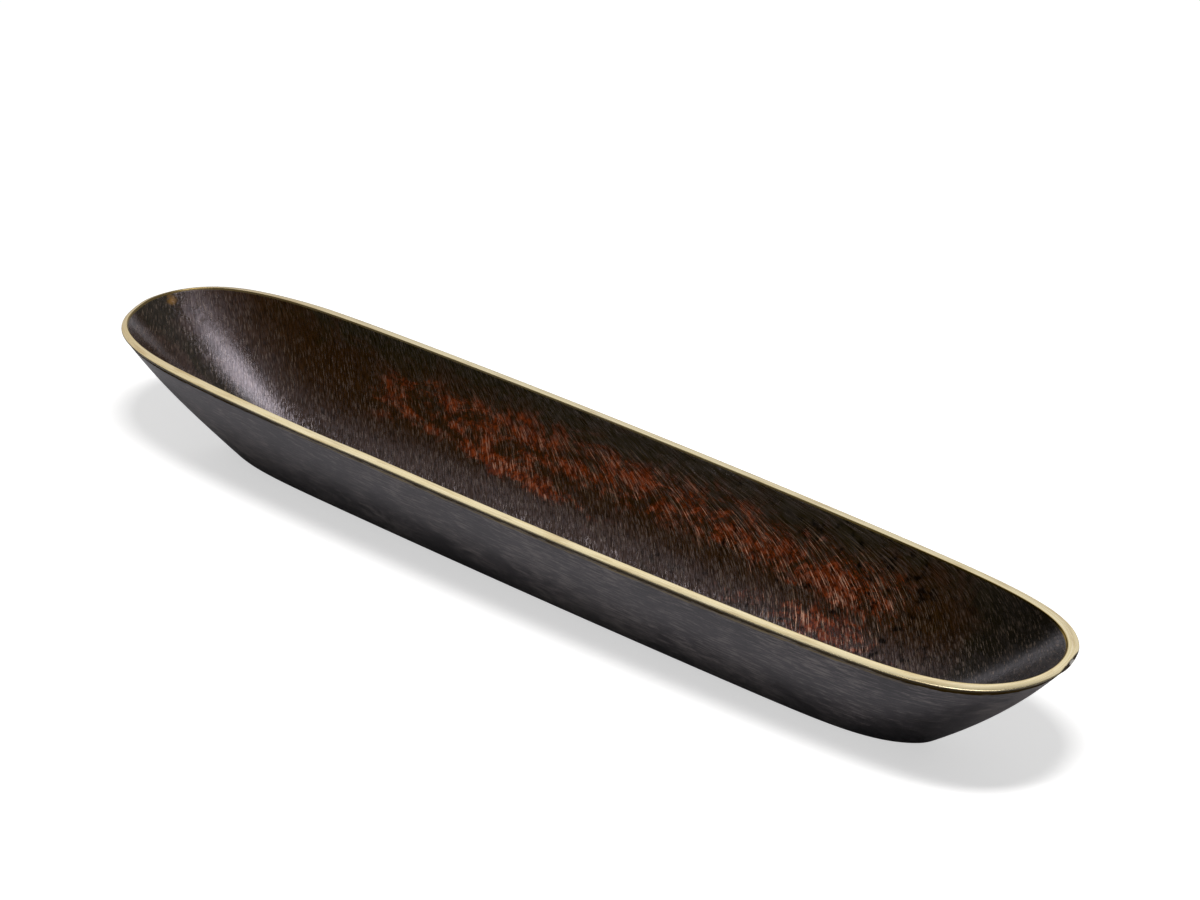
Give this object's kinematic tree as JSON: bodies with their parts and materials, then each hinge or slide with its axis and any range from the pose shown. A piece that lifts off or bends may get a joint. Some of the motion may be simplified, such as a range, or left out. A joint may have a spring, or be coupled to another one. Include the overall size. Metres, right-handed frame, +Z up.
{
  "type": "pen rest",
  "caption": "Long boat-shaped desk tray for pens: dark cast brass trough on a narrow flat foot, polished band round its mouth, felt pad underneath.",
  "frame": {"origin": "on the desk, under the middle of the foot: the centre of the felt pad's underside", "axes": "+X along the tray, +Y across it, +Z up out of its mouth"},
  "size_m": [0.3, 0.059, 0.0326],
  "materials": {
    "patinated_brass": "dark brown chemical patina, hand brushed, rubbed to red-brown patches in the trough",
    "polished_brass": "dressed flat and polished, fine lengthwise lines",
    "felt": "pressed wool felt"
  },
  "bodies": {
    "root": {"tray_body": "patinated_brass", "rim_band": "polished_brass", "base_pad": "felt"}
  },
  "joints": []
}
